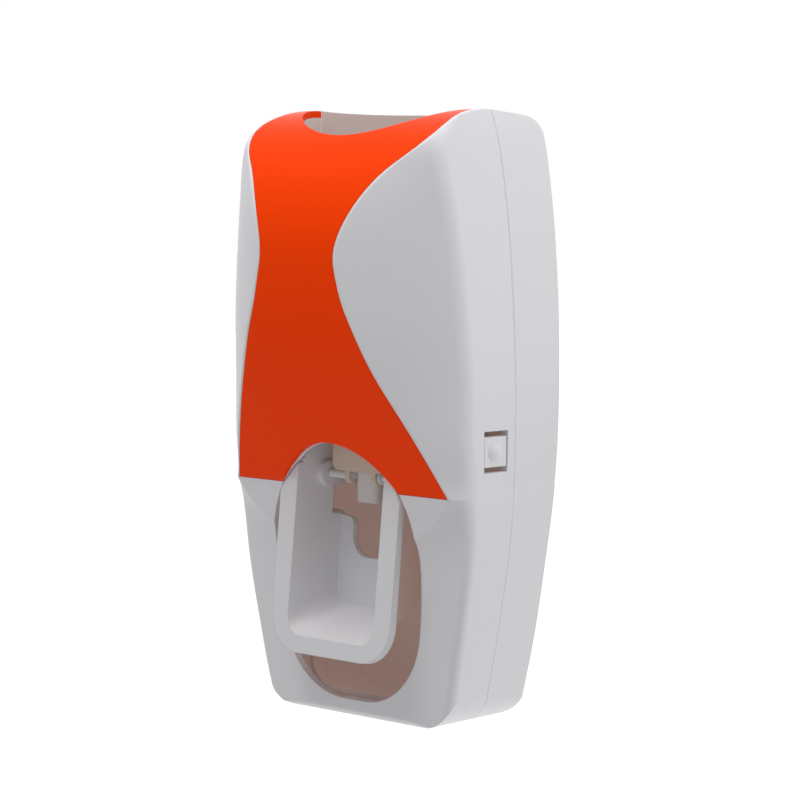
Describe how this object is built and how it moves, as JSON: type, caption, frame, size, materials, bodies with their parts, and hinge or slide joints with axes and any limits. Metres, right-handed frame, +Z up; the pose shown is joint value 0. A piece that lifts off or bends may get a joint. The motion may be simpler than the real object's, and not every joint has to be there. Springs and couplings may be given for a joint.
{
  "type": "toothpaste dispenser",
  "caption": "Wall-hung toothpaste dispenser: a tube stands neck down behind a slotted cover, and a brush pushed into the lever's cup works a small pump.",
  "frame": {"origin": "middle of the pad's face that sticks to the wall", "axes": "+Z up along the long side, +Y into the wall, so the front looks along -Y and X = 0 is the mirror plane"},
  "size_m": [0.0902, 0.0551, 0.1581],
  "materials": {
    "white_plastic": "smooth satin white moulding",
    "orange_plastic": "glossy orange moulding",
    "cream_plastic": "matt cream moulding",
    "grey_plastic": "matt light grey moulding",
    "silicone": "soft translucent silicone",
    "steel": "plain steel",
    "foam": "closed-cell foam tape"
  },
  "bodies": {
    "bracket": {"wall_bracket": "grey_plastic", "adhesive_pad": "foam"},
    "housing": {"rear_housing": "white_plastic", "pump_chassis": "grey_plastic", "chassis_screws": "steel", "manifold": "grey_plastic", "manifold_screws": "steel", "nozzle_block": "cream_plastic", "outlet_spout": "grey_plastic", "outlet_valve": "silicone", "inlet_valve": "silicone", "tube_seal": "silicone", "seal_ring": "grey_plastic", "pump_bellows": "silicone", "right_return_spring": "steel", "left_return_spring": "steel", "right_pivot_pin": "white_plastic", "left_pivot_pin": "white_plastic"},
    "cover": {"front_cover": "white_plastic", "face_plate": "orange_plastic"},
    "right_latch_tongue": {"right_latch": "white_plastic"},
    "left_latch_tongue": {"left_latch": "white_plastic"},
    "lever": {"push_lever": "white_plastic"},
    "yoke": {"pump_yoke": "grey_plastic"}
  },
  "joints": [
    {"name": "housing_lift", "type": "slide", "parent": "bracket", "child": "housing", "axis": [0, 0, 1], "range_m": [0, 0.009]},
    {"name": "cover_pull", "type": "slide", "parent": "housing", "child": "cover", "axis": [0, -1, 0], "range_m": [0, 0.06]},
    {"name": "right_latch_press", "type": "hinge", "parent": "cover", "child": "right_latch_tongue", "pos_m": [0.0419, -0.0313, -0.0179], "axis": [0, 0, 1], "range_deg": [0, 8], "stiffness_Nm_per_rad": 0.04},
    {"name": "left_latch_press", "type": "hinge", "parent": "cover", "child": "left_latch_tongue", "pos_m": [-0.0419, -0.0313, -0.0179], "axis": [0, 0, -1], "range_deg": [0, 8], "stiffness_Nm_per_rad": 0.04},
    {"name": "lever_push", "type": "hinge", "parent": "housing", "child": "lever", "pos_m": [0, -0.0306, -0.0272], "axis": [1, 0, 0], "range_deg": [0, 16], "stiffness_Nm_per_rad": 0.12, "springref_deg": -8.59},
    {"name": "yoke_lift", "type": "slide", "parent": "housing", "child": "yoke", "axis": [0, 0, 1], "range_m": [0, 0.0031], "deforming": ["right_return_spring", "left_return_spring", "pump_bellows"]}
  ],
  "couplings": [
    {"joint": "yoke_lift", "follows": "lever_push", "m_per_rad": 0.011}
  ]
}
